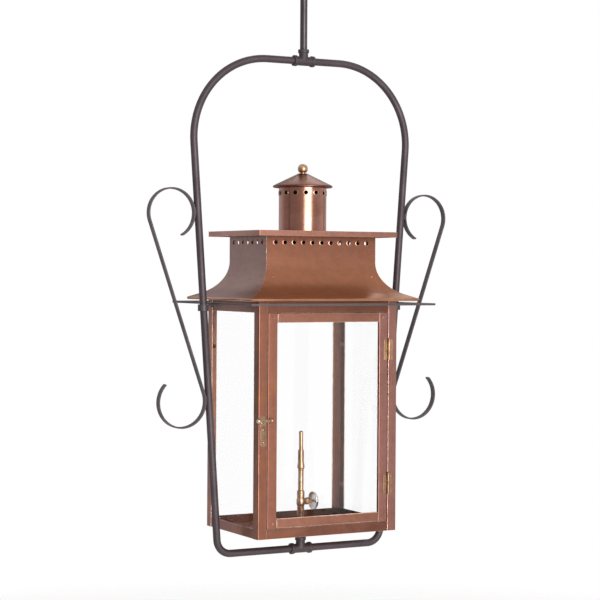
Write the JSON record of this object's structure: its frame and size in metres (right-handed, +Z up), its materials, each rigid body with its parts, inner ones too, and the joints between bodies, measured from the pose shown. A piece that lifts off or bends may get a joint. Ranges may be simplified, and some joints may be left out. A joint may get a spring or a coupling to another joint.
{
  "type": "hanging lantern",
  "caption": "Gas-burning copper lantern with a flared vented roof and chimney, hung in a tapered pipe yoke with scrolls from a ceiling rod; hinged glazed door, hook latch and burner valve.",
  "frame": {"origin": "centre of the ceiling face, on the down rod's axis", "axes": "+Z up into the ceiling; X along the front face and the yoke, +X to the hinge side seen from the front; -Y is the door side"},
  "size_m": [0.6354, 0.332, 1.1084],
  "materials": {
    "aged_copper": "aged copper sheet, brown patina with bright worn edges",
    "dark_bronze": "matte dark bronze over iron pipe and bar",
    "aged_brass": "aged brass, satin",
    "bright_brass": "machined brass, satin",
    "plated_steel": "plated steel, satin",
    "clear_glass": "clear window glass"
  },
  "bodies": {
    "lantern_frame": {"corner_post_front_left": "aged_copper", "corner_post_front_right": "aged_copper", "corner_post_back_left": "aged_copper", "corner_post_back_right": "aged_copper", "base_pan": "aged_copper", "header_front": "aged_copper", "header_back": "aged_copper", "header_left": "aged_copper", "header_right": "aged_copper", "roof_front": "aged_copper", "roof_back": "aged_copper", "roof_left": "aged_copper", "roof_right": "aged_copper", "roof_cap_plate": "aged_copper", "chimney_tube": "aged_copper", "chimney_cap": "aged_copper", "ceiling_flange": "dark_bronze", "ceiling_canopy": "dark_bronze", "canopy_collar": "dark_bronze", "down_rod": "dark_bronze", "upper_tee": "dark_bronze", "lower_tee": "dark_bronze", "yoke_tube_left": "dark_bronze", "yoke_tube_right": "dark_bronze", "scroll_left": "dark_bronze", "scroll_right": "dark_bronze", "rest_frame": "dark_bronze", "frame_clip_left": "dark_bronze", "frame_clip_right": "dark_bronze", "floor_nut_below": "dark_bronze", "hinge_upper_post_leaf": "aged_brass", "hinge_upper_pin": "aged_brass", "hinge_lower_post_leaf": "aged_brass", "hinge_lower_pin": "aged_brass", "latch_keeper": "aged_brass", "floor_nut_above": "aged_brass", "supply_nipple": "aged_brass", "mixer_nut": "aged_brass", "valve_body": "bright_brass", "packing_nut": "bright_brass", "burner_tube": "bright_brass", "mixer_sleeve": "bright_brass", "burner_tip": "bright_brass", "finial": "bright_brass", "glass_left": "clear_glass", "glass_right": "clear_glass", "glass_back": "clear_glass"},
    "door": {"door_stile_left": "aged_copper", "door_stile_right": "aged_copper", "door_rail_bottom": "aged_copper", "door_rail_top": "aged_copper", "door_glass": "clear_glass", "hinge_upper_door_leaf": "aged_brass", "hinge_lower_door_leaf": "aged_brass", "latch_pivot_screw": "aged_copper"},
    "latch": {"latch_hook": "aged_brass"},
    "valve": {"valve_stem": "bright_brass", "valve_handwheel": "plated_steel"}
  },
  "joints": [
    {"name": "door_swing", "type": "hinge", "parent": "lantern_frame", "child": "door", "pos_m": [0.1265, -0.10775, -0.84597], "axis": [0, 0, 1], "range_deg": [0, 170]},
    {"name": "latch_lift", "type": "hinge", "parent": "door", "child": "latch", "pos_m": [-0.11967, -0.1085, -0.84597], "axis": [0, 1, 0], "range_deg": [0, 85]},
    {"name": "valve_turn", "type": "hinge", "parent": "lantern_frame", "child": "valve", "pos_m": [0.028, 0, -1.00997], "axis": [1, 0, 0], "range_deg": [0, 720]}
  ]
}
